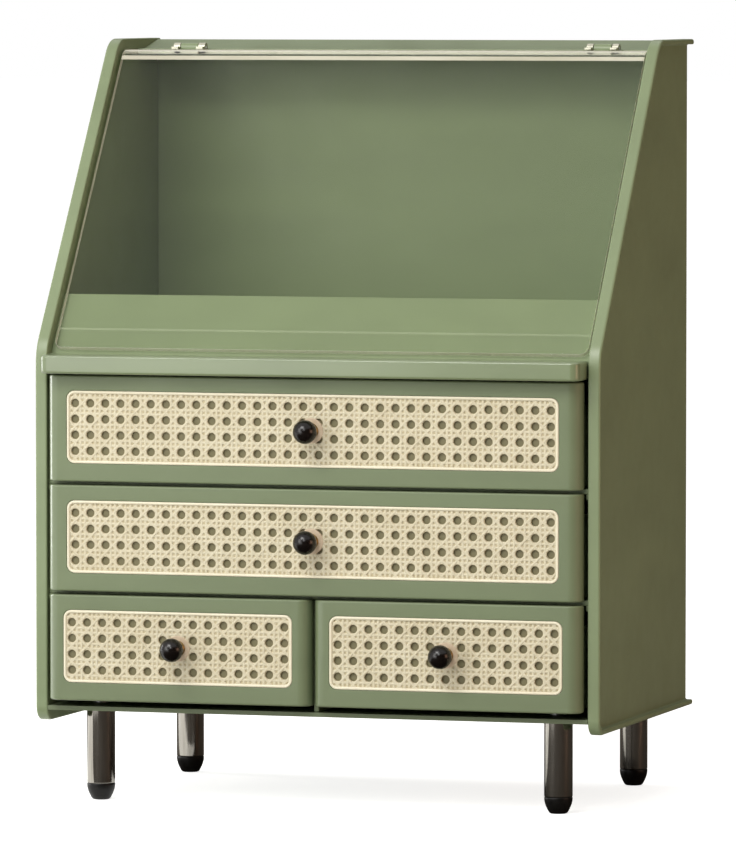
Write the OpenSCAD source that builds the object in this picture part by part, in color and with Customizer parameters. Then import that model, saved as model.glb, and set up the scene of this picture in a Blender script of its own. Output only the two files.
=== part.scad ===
// Tabletop make-up organizer: a rimmed cabinet on four tube legs, with a slanted
// clear lid over an open compartment and three rows of cane-look drawers below.
//
// Cabinet frame used by every module: x = 0 on the centre line, y = 0 at the front
// edge of the side panels and growing towards the back, z = 0 on the floor.

/* [Cabinet] */
// Width over the rims of the two side panels
cabinet_w = 330; // [260:1:420]
// Depth of the side panels
cabinet_d = 205; // [185:1:260]
// Height of the side panels above the floor
cabinet_h = 430; // [415:1:480]
// Height at which the side panels start to lean back
knee_z = 256; // [250:1:262]
// How far the top of the slanted front lies behind its foot
slant_setback = 130; // [100:1:140]
// Thickness of the moulded panels
panel_t = 3; // [2.4:0.1:3.5]

/* [Side panel rims] */
// How far a rim stands out beyond the web of its side panel
rim_reach = 4; // [2:0.5:6]
// Thickness of the rim flange
rim_t = 3; // [2:0.5:4]
// Radius of the top front corner
top_corner_r = 18; // [8:1:22]
// Radius of the bottom front corner
bottom_corner_r = 7; // [4:1:12]
// Radius of the knee
knee_r = 26; // [10:1:60]
// How far the rims stand above the rear edge of the top panel
rim_above_top = 0.8; // [0.5:0.1:3]
// How far the top panel falls from its rear edge to the hinges
top_fall = 5; // [3:0.5:6]
// How far the side panels hang below the base panel
side_skirt = 6.5; // [3:0.5:10]

/* [Base and legs] */
// Height of the base panel's underside above the floor
base_z = 52.5; // [40:0.5:70]
// Thickness of the base panel
base_t = 2.5; // [2:0.1:3.5]
// Distance of the legs from the outside of the rims
leg_side_inset = 30.5; // [26:0.5:60]
// Distance of the front legs behind the front edge
leg_front_y = 25; // [16:1:40]
// Distance of the rear legs in front of the rear edge
leg_rear_inset = 17; // [14:1:30]
// Radius of the leg tubes
leg_r = 8; // [6:0.5:9]
// Wall of the leg tubes
leg_wall = 1.2; // [0.8:0.1:2]
// Thickness of the closed top end of a leg
leg_plug_t = 8; // [5:0.5:12]
// Height of the rubber foot below the tube
foot_h = 9.5; // [7:0.5:12]
// Radius of the flat that a foot stands on
foot_flat_r = 4.6; // [3:0.1:5.5]
// Radius of the screws that hold the legs
leg_screw_r = 2.5; // [1.5:0.1:3]

/* [Drawers] */
// Height of the bottom edge of the lowest drawer fronts
drawer_z = 58.8; // [58:0.1:60]
// Height of a drawer front
front_h = 59.8; // [56:0.1:60]
// Gap between two drawer fronts
front_gap = 2; // [1.5:0.1:3]
// How far the drawer fronts stand out in front of the rims
front_proud = 8; // [4:0.5:10]
// Thickness of a drawer front
front_t = 10; // [8:0.5:11]
// Radius of the upright edges of a drawer front
front_edge_r = 7; // [2:0.5:7]
// Clearance between a drawer front and the side panel
front_side_gap = 2.5; // [1:0.1:4]
// Wall of the drawer trays
tray_wall = 2; // [1.5:0.1:3]
// Height of the drawer trays
tray_h = 46; // [30:1:50]
// Clearance beside a tray
tray_side_gap = 4; // [3:0.1:6]
// Radius of a tray's upright corners
tray_corner_r = 5; // [4:0.5:10]
// Gap between the tray's back and the back panel
tray_rear_gap = 12; // [6:1:30]
// Running clearance below a tray
tray_run_gap = 0.4; // [0.3:0.1:0.8]

/* [Cane inserts] */
// Distance between the holes of the cane pattern
cane_pitch = 8.95; // [8:0.05:9]
// Radius of the holes
cane_hole_r = 2.35; // [1.8:0.05:2.8]
// Least plain margin beside an insert
insert_side_margin = 9.5; // [8.5:0.1:14]
// Least plain margin above and below an insert
insert_top_margin = 8; // [6:0.1:12]
// Solid margin between the end holes and the bead
cane_end_margin = 0.7; // [0.5:0.1:2]
// Solid margin between the top and bottom holes and the bead
cane_top_margin = 3; // [1:0.1:4]
// Thickness of an insert
cane_t = 1.8; // [1.2:0.1:3]
// Width of the bead around an insert
cane_bead_w = 1.7; // [1:0.1:2.5]
// Height of the bead above the woven field
cane_bead_h = 0.7; // [0.3:0.1:1.2]
// Depth of the woven field below the drawer front's face
cane_sink = 0.5; // [0.3:0.1:1]
// Corner radius of an insert
cane_corner_r = 4.6; // [3:0.1:8]
// How far an insert sits above the middle of its drawer front
cane_lift = 0.8; // [0:0.1:3]

/* [Knobs] */
// Radius of the knob's ball
knob_r = 6.7; // [5:0.1:8]
// Distance of the ball's centre in front of the insert
knob_reach = 11; // [9:0.5:14]
// Radius of the metal ring under the knob
ring_r = 4.6; // [3.5:0.1:6]
// Radius of the solid boss under the ring
boss_r = 7.2; // [6:0.1:9]
// Radius of the screw that holds the knob
knob_screw_r = 1.5; // [1:0.1:2]

/* [Shelf and fence] */
// Thickness of the shelf's front nose
nose_h = 10.4; // [8:0.1:12]
// How far the nose stands out in front of the rims
nose_reach = 17; // [11:1:22]
// Radius of the nose's upright ends
nose_end_r = 5; // [2:0.5:8]
// Height of the fence's top edge above the shelf
fence_h = 33; // [20:1:50]
// Thickness of the fence
fence_t = 2.5; // [2:0.1:3]

/* [Lid] */
// Thickness of the lid's clear sheet
lid_t = 2.5; // [2:0.1:3]
// How far the lid lies below the slanted rims
lid_sink = 4.5; // [3:0.5:6]
// Outer radius of the bend at the lid's top
lid_bend_r = 10; // [6:1:14]
// Gap between the lid and each side panel
lid_side_gap = 2; // [1:0.1:3]
// Gap between the lid's lower edge and the shelf
lid_foot_gap = 2; // [1:0.5:4]
// Radius of the lid's lower corners
lid_corner_r = 5; // [2:0.5:12]
// Gap between the lid and the fence behind it
lid_fence_gap = 0.8; // [0.5:0.1:2]

/* [Hinges] */
// Distance of each hinge from the centre line
hinge_x = 124; // [80:1:135]
// Distance between the two lugs of a hinge
lug_span = 15; // [12:0.5:24]
// Width of a lug
lug_w = 4; // [3:0.5:6]
// Radius of the hinge barrel
barrel_r = 3.2; // [2.8:0.1:4]
// Radius of the hinge pin
pin_r = 1.2; // [0.8:0.1:1.4]
// Radial running clearance of the pin
pin_gap = 0.06; // [0.02:0.01:0.1]
// Distance of the hinge axis behind the top of the slanted front
hinge_setback = 28; // [12:1:34]

/* [Hidden] */

$fn = 48;
e = 0.01; // how far a cutting shape runs past the face it cuts

SAGE = [0.47, 0.55, 0.40];
CREAM = [0.93, 0.88, 0.76];
BLACK = [0.06, 0.05, 0.05];
BRASS = [0.62, 0.52, 0.32];
CHROME = [0.78, 0.78, 0.78];
RUBBER = [0.05, 0.05, 0.05];
STEEL = [0.65, 0.66, 0.68];
SMOKE = [0.45, 0.42, 0.36, 0.4];

// Side panels and what lies between them
web_in_x = cabinet_w / 2 - rim_reach - panel_t;
inner_w = 2 * web_in_x;
side_z = base_z - side_skirt;
top_rear_z = cabinet_h - rim_above_top;
top_z = top_rear_z - top_fall; // where the hinges sit
back_inset = 2;
back_y = cabinet_d - back_inset - panel_t;
base_top = base_z + base_t;
slant_a = atan(slant_setback / (cabinet_h - knee_z));
cleat_w = 2;
cleat_h = 3;
rib_t = 2;
rib_h = 5;
rib_drop = 3; // of the stiffening rib below the top panel

// Drawers
pitch_z = front_h + front_gap;
partition_t = 3;
front_back_y = front_t - front_proud;
board_gap = 1.5; // between a closed drawer front and the boards behind it
board_y = front_back_y + board_gap;
tray_lift = 1.6; // tray floor above the front's lower edge
wide_w = inner_w - 2 * front_side_gap;
small_w = (wide_w - front_gap) / 2;
small_x = (small_w + front_gap) / 2;
tray_len = back_y - tray_rear_gap - front_back_y;
divider_t = 3;

// Cane inserts and what is fixed on them: as many holes as each front has room for
cane_edge = cane_hole_r + cane_bead_w;
function cane_cols(w) = 1 + floor((w - 2 * (insert_side_margin + cane_edge + cane_end_margin)) / cane_pitch);
cane_rows = 1 + floor((front_h - 2 * (insert_top_margin + cane_edge + cane_top_margin)) / cane_pitch);
cane_h = (cane_rows - 1) * cane_pitch + 2 * (cane_edge + cane_top_margin);
cane_y = cane_sink - front_proud;
cane_seat_gap = 0.1;
knob_face_y = cane_y - knob_reach;

// Shelf
nose_foot_gap = 1.1; // between the top drawer's front and the nose
shelf_top = drawer_z + 3 * pitch_z - front_gap + nose_foot_gap + nose_h;
nose_gap = 1; // between the nose and the side panels
nose_lap = 6; // of the nose over the shelf behind it
nose_back_y = board_y + nose_lap;
nose_wall = 2.5; // what stays of the nose beside its drip hollow

// Lid, measured along the slanted plane
lid_top = top_z - 0.4;
axis_y = slant_setback + hinge_setback;
axis_z = lid_top + 0.6;
lug_gap = 0.3;
seat_gap = 0.1;
barrel_gap = 0.6; // between a hinge block and the lid's notch
hinge_gap = pin_r + 0.3; // from the hinge axis to the lid's rear edge
tongue_l = 14; // of a hinge block's tongue in the top panel
pad_l = 7;
pad_h = 1.6;
block_w = lug_span - lug_w - 2 * lug_gap;
top_front_y = axis_y + barrel_r + 0.8;

// Screws
screw_gap = 0.2;
leg_head_r = 4.6;
leg_head_h = 2.4;
knob_head_r = 3.2;
knob_head_h = 1.8;

// Where the origin lies: under the middle of everything from the knobs to the back
reach_y = knob_r - knob_face_y;
origin_y = (cabinet_d - reach_y) / 2;

module place() { translate([0, -origin_y, 0]) children(); }

// ---- Outlines ----------------------------------------------------------------

// Point where the corner at b, of radius r, is left or met by its arc
function unit(v) = v / norm(v);
function arc_corner(a, b, c, r, n = 12) =
    let (u = unit(a - b), v = unit(c - b), half = acos(u * v) / 2, d = r / tan(half),
         m = b + unit(u + v) * r / sin(half), p = b + u * d, q = b + v * d,
         a0 = atan2(p[1] - m[1], p[0] - m[0]), a1 = atan2(q[1] - m[1], q[0] - m[0]),
         turn = (a1 - a0 > 180) ? a1 - a0 - 360 : (a1 - a0 < -180) ? a1 - a0 + 360 : a1 - a0)
    r <= 0 ? [b] : [for (i = [0 : n]) m + r * [cos(a0 + turn * i / n), sin(a0 + turn * i / n)]];
function rounded(points, radii) =
    let (n = len(points))
    [for (i = [0 : n - 1]) each arc_corner(points[(i + n - 1) % n], points[i], points[(i + 1) % n], radii[i])];

// The side panel's outline in (y, z), drawn t inside its edge; the rear end runs on by rear
function side_outline(t, rear) = rounded(
    [[t, side_z + t], [t, knee_z - t * tan(slant_a / 2)],
     [slant_setback + t * tan(45 - slant_a / 2), cabinet_h - t],
     [cabinet_d + rear, cabinet_h - t], [cabinet_d + rear, side_z + t]],
    [bottom_corner_r - t, knee_r - t, top_corner_r - t, 0, 0]);

// Stands a (y, z) outline up and gives it a thickness from x0 to x1
module across(x0, x1) {
    translate([x0, 0, 0]) rotate([90, 0, 90]) linear_extrude(x1 - x0) children();
}

module round_rect(w, h, r) {
    square([w - 2 * r, h], center = true);
    square([w, h - 2 * r], center = true);
    for (x = [-1, 1], z = [-1, 1]) translate([x * (w / 2 - r), z * (h / 2 - r)]) circle(r);
}

// A point of the slanted plane: s up the slope from the knee, inset t below the rims
function on_slant(s, t) = [s * sin(slant_a) + t * cos(slant_a), knee_z + s * cos(slant_a) - t * sin(slant_a)];
// How far up the slope a height is reached, at inset t
function slope_at(z, t) = (z - knee_z + t * sin(slant_a)) / cos(slant_a);

// ---- Cabinet -----------------------------------------------------------------

module side_panel(side) {
    color(SAGE) mirror([side < 0 ? 1 : 0, 0, 0]) {
        across(web_in_x, web_in_x + panel_t) polygon(side_outline(0, 0));
        across(web_in_x, cabinet_w / 2) difference() {
            polygon(side_outline(0, 0));
            polygon(side_outline(rim_t, 1));
        }
        // cleats that carry the shelf and the partitions
        for (seat = [[nose_back_y + nose_gap, shelf_top - panel_t], for (i = [1, 2]) [board_y, partition_z(i)]])
            translate([web_in_x - cleat_w, seat[0], seat[1] - cleat_h])
                cube([cleat_w + e, back_y - seat[0], cleat_h]);
    }
}
module side_panel_left() { side_panel(-1); }
module side_panel_right() { side_panel(1); }

// Underside of the partition below drawer row i
function partition_z(i) = drawer_z + i * pitch_z - front_gap / 2 - partition_t / 2;

module top_panel() {
    // level where the hinges are let in, then rising to its rear edge
    line = [[top_front_y, top_z], [axis_y + tongue_l + 1, top_z],
            [back_y - 1, top_rear_z], [cabinet_d - back_inset, top_rear_z]];
    color(SAGE) difference() {
        across(-web_in_x, web_in_x) polygon(concat(line, [for (i = [3 : -1 : 0]) line[i] - [0, panel_t]]));
        for (side = [-1, 1]) translate([side * hinge_x, 0, 0]) block_tongue(seat_gap);
    }
}

module back_panel() {
    color(SAGE) {
        translate([-web_in_x, back_y, base_top])
            cube([inner_w, panel_t, top_rear_z - panel_t - base_top]);
        // stiffening rib across the open compartment
        translate([-web_in_x, back_y - rib_t, top_rear_z - panel_t - rib_drop - rib_h]) cube([inner_w, rib_t + e, rib_h]);
    }
}

leg_x = cabinet_w / 2 - leg_side_inset;
leg_rear_y = cabinet_d - leg_rear_inset;
module leg_spots() {
    for (x = [-1, 1], y = [leg_front_y, leg_rear_y])
        translate([x * leg_x, y, 0]) children();
}

// Ribs that the trays of the lowest row run on, between the heads of the leg screws
runner_w = 3;
runner_inset = 26; // from the end of a small drawer
runner_x = [for (s = [-1, 1], k = [-1, 1]) s * small_x + k * (small_w / 2 - runner_inset)];
runner_y0 = leg_front_y + leg_head_r + 2;
runner_y1 = leg_rear_y - leg_head_r - 2;
module base_panel() {
    color(SAGE) difference() {
        union() {
            translate([-web_in_x, 0, base_z]) cube([inner_w, back_y + panel_t, base_t]);
            for (x = runner_x) translate([x - runner_w / 2, runner_y0, base_top - e])
                cube([runner_w, runner_y1 - runner_y0, drawer_z + tray_lift - tray_run_gap - base_top + e]);
        }
        leg_spots() translate([0, 0, base_z - 1]) cylinder(r = leg_screw_r + screw_gap, h = base_t + 2);
    }
}

module shelf() {
    color(SAGE) {
        translate([-web_in_x, board_y, shelf_top - panel_t]) cube([inner_w, back_y - board_y, panel_t]);
        difference() {
            translate([0, (nose_back_y - nose_reach) / 2, shelf_top - nose_h])
                linear_extrude(nose_h) round_rect(inner_w - 2 * nose_gap, nose_back_y + nose_reach, nose_end_r);
            // drip hollow behind the nose's face, where the top drawer's front closes against it
            translate([-web_in_x, nose_back_y - nose_wall, shelf_top - nose_h - 1])
                cube([inner_w, nose_wall + 1, nose_h - panel_t + 1]);
        }
    }
}

fence_in = lid_sink + lid_t + lid_fence_gap;
fence_foot_s = slope_at(shelf_top, fence_in + fence_t);
module front_fence() {
    top_s = slope_at(shelf_top + fence_h, fence_in);
    color(SAGE) across(-web_in_x, web_in_x) polygon([
        [on_slant(slope_at(shelf_top, fence_in), fence_in)[0], shelf_top],
        on_slant(top_s, fence_in), on_slant(top_s, fence_in + fence_t),
        [on_slant(fence_foot_s, fence_in + fence_t)[0], shelf_top]]);
}

module partition(i) {
    color(SAGE) translate([-web_in_x, board_y, partition_z(i)])
        cube([inner_w, back_y - board_y, partition_t]);
}
module partition_upper() { partition(2); }
module partition_lower() { partition(1); }

module centre_divider() {
    color(SAGE) translate([-divider_t / 2, board_y, base_top])
        cube([divider_t, back_y - board_y, partition_z(1) - base_top]);
}

// ---- Legs --------------------------------------------------------------------

module leg(x, y) {
    color(CHROME) translate([x * leg_x, y, 0]) difference() {
        translate([0, 0, foot_h]) cylinder(r = leg_r, h = base_z - foot_h);
        translate([0, 0, foot_h - 1]) cylinder(r = leg_r - leg_wall, h = base_z - foot_h - leg_plug_t + 1);
        translate([0, 0, base_z - leg_plug_t - 1]) cylinder(r = leg_screw_r, h = leg_plug_t + 2);
    }
}
module leg_front_left() { leg(-1, leg_front_y); }
module leg_front_right() { leg(1, leg_front_y); }
module leg_rear_left() { leg(-1, leg_rear_y); }
module leg_rear_right() { leg(1, leg_rear_y); }

foot_spigot_h = 9;
module foot(x, y) {
    color(RUBBER) translate([x * leg_x, y, 0]) rotate_extrude() polygon([
        [0, 0], [foot_flat_r, 0], [foot_flat_r + 1.3, 0.7], [leg_r - 0.6, foot_h * 0.45],
        [leg_r, foot_h * 0.75], [leg_r, foot_h], [leg_r - leg_wall, foot_h],
        [leg_r - leg_wall, foot_h + foot_spigot_h - 1], [leg_r - leg_wall - 1, foot_h + foot_spigot_h],
        [0, foot_h + foot_spigot_h]]);
}
module foot_front_left() { foot(-1, leg_front_y); }
module foot_front_right() { foot(1, leg_front_y); }
module foot_rear_left() { foot(-1, leg_rear_y); }
module foot_rear_right() { foot(1, leg_rear_y); }

module leg_screws() {
    color(STEEL) leg_spots() difference() {
        union() {
            translate([0, 0, base_z - leg_plug_t + 1]) cylinder(r = leg_screw_r, h = leg_plug_t - 1 + base_t);
            translate([0, 0, base_top]) cylinder(r = leg_head_r, h = leg_head_h);
        }
        for (a = [0, 90]) translate([0, 0, base_top + leg_head_h]) rotate(a)
            cube([leg_head_r * 1.1, 1, 2], center = true);
    }
}

// ---- Lid and hinges ----------------------------------------------------------

lid_foot_s = slope_at(shelf_top + lid_foot_gap, lid_sink + lid_t);
// Outer corner of the lid's profile, before it is bent
lid_top_s = slope_at(lid_top, lid_sink);
lid_back_y = axis_y - hinge_gap;

module lid_profile() {
    outer = on_slant(lid_top_s, lid_sink);
    inner = on_slant(slope_at(lid_top - lid_t, lid_sink + lid_t), lid_sink + lid_t);
    arc_o = arc_corner(on_slant(lid_foot_s, lid_sink), outer, [lid_back_y, lid_top], lid_bend_r, 10);
    arc_i = arc_corner([lid_back_y, lid_top - lid_t], inner, on_slant(lid_foot_s, lid_sink + lid_t),
                       lid_bend_r - lid_t, 10);
    polygon(concat([on_slant(lid_foot_s, lid_sink)], arc_o, [[lid_back_y, lid_top], [lid_back_y, lid_top - lid_t]],
                   arc_i, [on_slant(lid_foot_s, lid_sink + lid_t)]));
}

module lid_window() {
    half = web_in_x - lid_side_gap;
    color(SMOKE) difference() {
        across(-half, half) lid_profile();
        // rounded lower corners, cut square to the sheet
        for (side = [-1, 1]) translate([side * half, on_slant(lid_foot_s, 0)[0], on_slant(lid_foot_s, 0)[1]])
            rotate([90 - slant_a, 0, 0]) mirror([side > 0 ? 1 : 0, 0, 0])
                translate([0, 0, -lid_sink - 2 * lid_t]) linear_extrude(lid_sink + 3 * lid_t) difference() {
                    translate([-1, -1]) square(lid_corner_r + 1);
                    translate([lid_corner_r, lid_corner_r]) circle(lid_corner_r);
                }
        // notches that clear the hinge blocks, as wide as the space between the lugs
        for (side = [-1, 1])
            translate([side * hinge_x - block_w / 2 - lug_gap, axis_y - barrel_r - barrel_gap, lid_top - lid_t - 1])
                cube([block_w + 2 * lug_gap, barrel_r + barrel_gap, lid_t + 2]);
    }
}

module block_tongue(gap) {
    translate([-block_w / 2 - gap, axis_y, top_z - panel_t - e])
        cube([block_w + 2 * gap, tongue_l + gap, panel_t + 2 * e]);
}

// A hinge's fixed half: a barrel between the lugs and a tongue let into the top panel
module hinge_block(side) {
    color(SAGE) translate([side * hinge_x, 0, 0]) difference() {
        union() {
            translate([-block_w / 2, axis_y, axis_z]) rotate([0, 90, 0]) cylinder(r = barrel_r, h = block_w);
            translate([-block_w / 2, axis_y, top_z - panel_t]) cube([block_w, tongue_l, panel_t]);
            translate([-block_w / 2, axis_y, axis_z - barrel_r]) cube([block_w, barrel_r, barrel_r]);
        }
        translate([-block_w, axis_y, axis_z]) rotate([0, 90, 0]) cylinder(r = pin_r + pin_gap, h = 2 * block_w);
    }
}
module hinge_block_left() { hinge_block(-1); }
module hinge_block_right() { hinge_block(1); }

// The two lugs on the lid: a barrel each, with a pad on the lid's flat return
module lid_lugs(side) {
    color(CHROME) translate([side * hinge_x, 0, 0]) for (k = [-1, 1])
        translate([k * lug_span / 2 - lug_w / 2, axis_y, axis_z]) difference() {
            union() {
                rotate([0, 90, 0]) cylinder(r = barrel_r, h = lug_w);
                translate([0, -pad_l, lid_top - axis_z]) cube([lug_w, pad_l, pad_h]);
            }
            translate([-1, 0, 0]) rotate([0, 90, 0]) cylinder(r = pin_r + pin_gap, h = lug_w + 2);
            translate([-1, -2 * pad_l, lid_top - axis_z - lid_t - 2]) cube([lug_w + 2, 2 * pad_l - hinge_gap, lid_t + 2]);
        }
}
module lid_lugs_left() { lid_lugs(-1); }
module lid_lugs_right() { lid_lugs(1); }

module hinge_pin(side) {
    len = lug_span + lug_w + 0.6;
    color(STEEL) translate([side * hinge_x - len / 2, axis_y, axis_z]) rotate([0, 90, 0])
        cylinder(r = pin_r, h = len);
}
module hinge_pin_left() { hinge_pin(-1); }
module hinge_pin_right() { hinge_pin(1); }

// ---- Drawers -----------------------------------------------------------------

// Middle of the insert above the drawer front's lower edge
insert_z = front_h / 2 + cane_lift;
function insert_w(w) = (cane_cols(w) - 1) * cane_pitch + 2 * (cane_edge + cane_end_margin);

// An open box behind the front; the knob's screw passes through its front wall
module tray(w, z) {
    half = w / 2 - tray_side_gap + front_side_gap;
    color(SAGE) difference() {
        translate([0, front_back_y + tray_len / 2, z + tray_lift]) linear_extrude(tray_h)
            round_rect(2 * half, tray_len, tray_corner_r);
        translate([0, front_back_y + tray_len / 2, z + tray_lift + tray_wall]) linear_extrude(tray_h)
            round_rect(2 * (half - tray_wall), tray_len - 2 * tray_wall, tray_corner_r - tray_wall);
        translate([0, front_back_y - 1, z + insert_z]) rotate([-90, 0, 0])
            cylinder(r = knob_screw_r + screw_gap, h = tray_wall + 2);
    }
}

// A drawer front: upright edges rounded in plan, with the insert's pocket in its face
module drawer_front(w, z) {
    color(SAGE) difference() {
        intersection() {
            translate([0, front_t - front_proud, z]) linear_extrude(front_h)
                round_rect(w, 2 * front_t, front_edge_r);
            translate([-w, -front_proud - 1, z - 1]) cube([2 * w, front_t + 1, front_h + 2]);
        }
        translate([0, cane_y, z + insert_z]) rotate([90, 0, 0]) translate([0, 0, -cane_t])
            linear_extrude(front_t)
                round_rect(insert_w(w) + 2 * cane_seat_gap, cane_h + 2 * cane_seat_gap, cane_corner_r);
        translate([0, -front_proud - 1, z + insert_z]) rotate([-90, 0, 0])
            cylinder(r = knob_screw_r + screw_gap, h = front_t + 2);
    }
}

// A perforated panel with a raised bead; a round boss stays solid under the knob
module cane_insert(front_w, z) {
    w = insert_w(front_w);
    cols = cane_cols(front_w);
    color(CREAM) translate([0, cane_y, z + insert_z]) rotate([90, 0, 0]) difference() {
        union() {
            translate([0, 0, -cane_t]) linear_extrude(cane_t) {
                difference() {
                    round_rect(w, cane_h, cane_corner_r);
                    for (c = [0 : cols - 1], r = [0 : cane_rows - 1])
                        translate([(c - (cols - 1) / 2) * cane_pitch, (r - (cane_rows - 1) / 2) * cane_pitch])
                            circle(cane_hole_r, $fn = 24);
                }
                circle(boss_r);
            }
            translate([0, 0, -e]) linear_extrude(cane_bead_h + e) difference() {
                round_rect(w, cane_h, cane_corner_r);
                round_rect(w - 2 * cane_bead_w, cane_h - 2 * cane_bead_w, cane_corner_r - cane_bead_w);
            }
        }
        translate([0, 0, -cane_t - 1]) cylinder(r = knob_screw_r + screw_gap, h = cane_t + 2);
    }
}

ball_flat = 1.2; // how far the ball's back is cut flat
knob_bore_l = 6;
module knob(z) {
    flat = knob_r - ball_flat;
    color(BLACK) translate([0, knob_face_y, z + insert_z]) rotate([-90, 0, 0]) rotate_extrude() difference() {
        intersection() {
            circle(knob_r);
            translate([0, -knob_r]) square([knob_r, knob_r + flat]);
        }
        translate([-1, flat - knob_bore_l]) square([1 + knob_screw_r, knob_bore_l + 1]);
    }
}

// A stepped metal collar between the insert and the ball
module knob_ring(z) {
    len = knob_reach - knob_r + ball_flat;
    color(BRASS) translate([0, cane_y, z + insert_z]) rotate([90, 0, 0]) rotate_extrude() polygon([
        [knob_screw_r + screw_gap, 0], [ring_r, 0], [ring_r, 1.2], [ring_r - 0.7, 1.8],
        [ring_r - 1.6, 2.6], [ring_r - 1.6, len], [knob_screw_r + screw_gap, len]]);
}

module knob_screw(z) {
    tip_y = knob_face_y + knob_r - ball_flat - knob_bore_l + 0.5;
    head_y = front_back_y + tray_wall;
    color(STEEL) translate([0, 0, z + insert_z]) difference() {
        union() {
            translate([0, tip_y, 0]) rotate([-90, 0, 0]) cylinder(r = knob_screw_r, h = head_y - tip_y);
            translate([0, head_y, 0]) rotate([-90, 0, 0]) cylinder(r = knob_head_r, h = knob_head_h);
        }
        for (a = [0, 90]) translate([0, head_y + knob_head_h, 0]) rotate([0, a, 0])
            cube([knob_head_r * 1.2, 1.6, 0.8], center = true);
    }
}

function row_z(i) = drawer_z + i * pitch_z;

module tray_upper() { tray(wide_w, row_z(2)); }
module front_upper() { drawer_front(wide_w, row_z(2)); }
module cane_upper() { cane_insert(wide_w, row_z(2)); }
module knob_upper() { knob(row_z(2)); }
module knob_ring_upper() { knob_ring(row_z(2)); }
module knob_screw_upper() { knob_screw(row_z(2)); }

module tray_middle() { tray(wide_w, row_z(1)); }
module front_middle() { drawer_front(wide_w, row_z(1)); }
module cane_middle() { cane_insert(wide_w, row_z(1)); }
module knob_middle() { knob(row_z(1)); }
module knob_ring_middle() { knob_ring(row_z(1)); }
module knob_screw_middle() { knob_screw(row_z(1)); }

module at_left() { translate([-small_x, 0, 0]) children(); }
module at_right() { translate([small_x, 0, 0]) children(); }
module tray_left() { at_left() tray(small_w, row_z(0)); }
module front_left() { at_left() drawer_front(small_w, row_z(0)); }
module cane_left() { at_left() cane_insert(small_w, row_z(0)); }
module knob_left() { at_left() knob(row_z(0)); }
module knob_ring_left() { at_left() knob_ring(row_z(0)); }
module knob_screw_left() { at_left() knob_screw(row_z(0)); }
module tray_right() { at_right() tray(small_w, row_z(0)); }
module front_right() { at_right() drawer_front(small_w, row_z(0)); }
module cane_right() { at_right() cane_insert(small_w, row_z(0)); }
module knob_right() { at_right() knob(row_z(0)); }
module knob_ring_right() { at_right() knob_ring(row_z(0)); }
module knob_screw_right() { at_right() knob_screw(row_z(0)); }

place() side_panel_left();
place() side_panel_right();
place() top_panel();
place() back_panel();
place() base_panel();
place() shelf();
place() front_fence();
place() partition_upper();
place() partition_lower();
place() centre_divider();
place() leg_front_left();
place() leg_front_right();
place() leg_rear_left();
place() leg_rear_right();
place() foot_front_left();
place() foot_front_right();
place() foot_rear_left();
place() foot_rear_right();
place() leg_screws();
place() lid_window();
place() lid_lugs_left();
place() lid_lugs_right();
place() hinge_block_left();
place() hinge_block_right();
place() hinge_pin_left();
place() hinge_pin_right();
place() tray_upper();
place() front_upper();
place() cane_upper();
place() knob_upper();
place() knob_ring_upper();
place() knob_screw_upper();
place() tray_middle();
place() front_middle();
place() cane_middle();
place() knob_middle();
place() knob_ring_middle();
place() knob_screw_middle();
place() tray_left();
place() front_left();
place() cane_left();
place() knob_left();
place() knob_ring_left();
place() knob_screw_left();
place() tray_right();
place() front_right();
place() cane_right();
place() knob_right();
place() knob_ring_right();
place() knob_screw_right();
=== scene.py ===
import math

import bmesh
import bpy
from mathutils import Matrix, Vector
from mathutils.geometry import tessellate_polygon

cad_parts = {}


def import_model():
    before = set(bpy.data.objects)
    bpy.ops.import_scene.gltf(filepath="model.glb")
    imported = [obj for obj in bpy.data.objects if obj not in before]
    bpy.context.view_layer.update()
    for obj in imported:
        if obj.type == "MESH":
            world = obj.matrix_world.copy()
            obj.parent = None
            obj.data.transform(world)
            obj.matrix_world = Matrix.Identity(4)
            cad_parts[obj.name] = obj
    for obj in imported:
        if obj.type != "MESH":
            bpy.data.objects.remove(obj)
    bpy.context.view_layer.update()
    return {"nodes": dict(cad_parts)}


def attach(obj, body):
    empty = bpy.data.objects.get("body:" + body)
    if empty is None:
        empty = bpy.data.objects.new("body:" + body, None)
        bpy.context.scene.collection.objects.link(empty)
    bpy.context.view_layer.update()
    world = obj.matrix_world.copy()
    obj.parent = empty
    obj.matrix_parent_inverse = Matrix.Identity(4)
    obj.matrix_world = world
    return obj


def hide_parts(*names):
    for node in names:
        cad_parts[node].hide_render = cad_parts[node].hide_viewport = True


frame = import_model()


# ---- Sizes -------------------------------------------------------------------
# Lengths are in mm in the cabinet's own frame: x from the centre line, y back from the
# front edge of the side panels, z up from the floor. place() turns them into metres.

MM = 0.001
ORIGIN_Y = 89.9                            # y of the scene's origin

CAB_D, CAB_H = 205.0, 430.0
SIDE_Z = 46.0                              # underside of the side panels
KNEE_Z = 256.0                             # where their front starts to lean back
HEAD_Y = 130.0                             # how far back it reaches at the top
LEAN = math.atan(HEAD_Y / (CAB_H - KNEE_Z))
FOOT_R, KNEE_R, HEAD_R = 8.5, 26.0, 18.0   # the rim's corners
RIM_T = 3.0
WEB_IN, WEB_OUT, RIM_OUT = 158.0, 161.0, 165.0

SHELF_TOP = 253.7
BOARD_T = 3.0                              # shelf board
BOARD_BACK = 200.0
FENCE_TOP = 286.7
FENCE_IN, FENCE_OUT = 7.8, 10.3            # the fence's faces, in from the slanted front

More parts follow.
